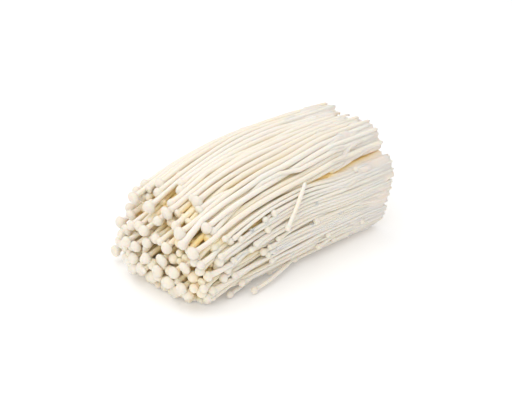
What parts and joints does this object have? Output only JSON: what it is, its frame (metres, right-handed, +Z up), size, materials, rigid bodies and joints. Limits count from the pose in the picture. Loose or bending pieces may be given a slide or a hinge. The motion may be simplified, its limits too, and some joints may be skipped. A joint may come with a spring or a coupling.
{
  "type": "enoki mushroom bunch",
  "caption": "Bunch of long thin white mushrooms with small button caps, lying on its side, fused together at a cut base.",
  "frame": {"origin": "middle of the bunch's footprint, on the surface that it lies on", "axes": "+Z up; +Y along the bunch towards its cut base, so the caps face -Y; +X towards the near long side with the small young caps"},
  "size_m": [0.0794, 0.1344, 0.0594],
  "materials": {
    "mushroom_flesh": "cream white mushroom skin, moist satin",
    "young_mushroom_flesh": "cream white mushroom skin of slim young stems, moist satin",
    "fused_base": "fibrous cream flesh of fused stems, soft satin with a matt cut end"
  },
  "bodies": {
    "root": {"back_clump": "fused_base", "far_mushroom_01": "mushroom_flesh", "far_mushroom_02": "mushroom_flesh", "far_mushroom_03": "mushroom_flesh", "far_mushroom_04": "mushroom_flesh", "far_mushroom_05": "mushroom_flesh", "far_mushroom_06": "mushroom_flesh", "far_mushroom_07": "mushroom_flesh", "front_mushroom_01": "mushroom_flesh", "front_mushroom_02": "mushroom_flesh", "front_mushroom_03": "mushroom_flesh", "front_mushroom_04": "mushroom_flesh", "front_mushroom_05": "mushroom_flesh", "front_mushroom_06": "mushroom_flesh", "front_mushroom_07": "mushroom_flesh", "front_mushroom_08": "mushroom_flesh", "front_mushroom_09": "mushroom_flesh", "front_mushroom_10": "mushroom_flesh", "front_mushroom_11": "mushroom_flesh", "front_mushroom_12": "mushroom_flesh", "front_mushroom_13": "mushroom_flesh", "front_mushroom_14": "mushroom_flesh", "front_mushroom_15": "mushroom_flesh", "front_mushroom_16": "mushroom_flesh", "front_mushroom_17": "mushroom_flesh", "front_mushroom_18": "mushroom_flesh", "front_mushroom_19": "mushroom_flesh", "front_mushroom_20": "mushroom_flesh", "front_mushroom_21": "mushroom_flesh", "loose_mushroom_01": "young_mushroom_flesh", "lower_clump": "fused_base", "near_mushroom_01": "young_mushroom_flesh", "near_mushroom_02": "young_mushroom_flesh", "near_mushroom_03": "young_mushroom_flesh", "near_mushroom_04": "young_mushroom_flesh", "near_mushroom_05": "young_mushroom_flesh", "near_mushroom_06": "young_mushroom_flesh", "near_mushroom_07": "young_mushroom_flesh", "near_mushroom_08": "young_mushroom_flesh", "near_mushroom_09": "young_mushroom_flesh", "near_mushroom_10": "young_mushroom_flesh", "near_mushroom_11": "young_mushroom_flesh", "near_mushroom_12": "young_mushroom_flesh", "splayed_mushroom_01": "young_mushroom_flesh", "splayed_mushroom_02": "young_mushroom_flesh", "top_mushroom_01": "mushroom_flesh", "top_mushroom_02": "mushroom_flesh", "top_mushroom_03": "mushroom_flesh", "top_mushroom_04": "mushroom_flesh", "top_mushroom_05": "mushroom_flesh", "top_mushroom_06": "mushroom_flesh", "top_mushroom_07": "mushroom_flesh", "top_mushroom_08": "mushroom_flesh", "top_mushroom_09": "mushroom_flesh", "top_mushroom_10": "mushroom_flesh", "upper_clump": "fused_base"}
  },
  "joints": []
}
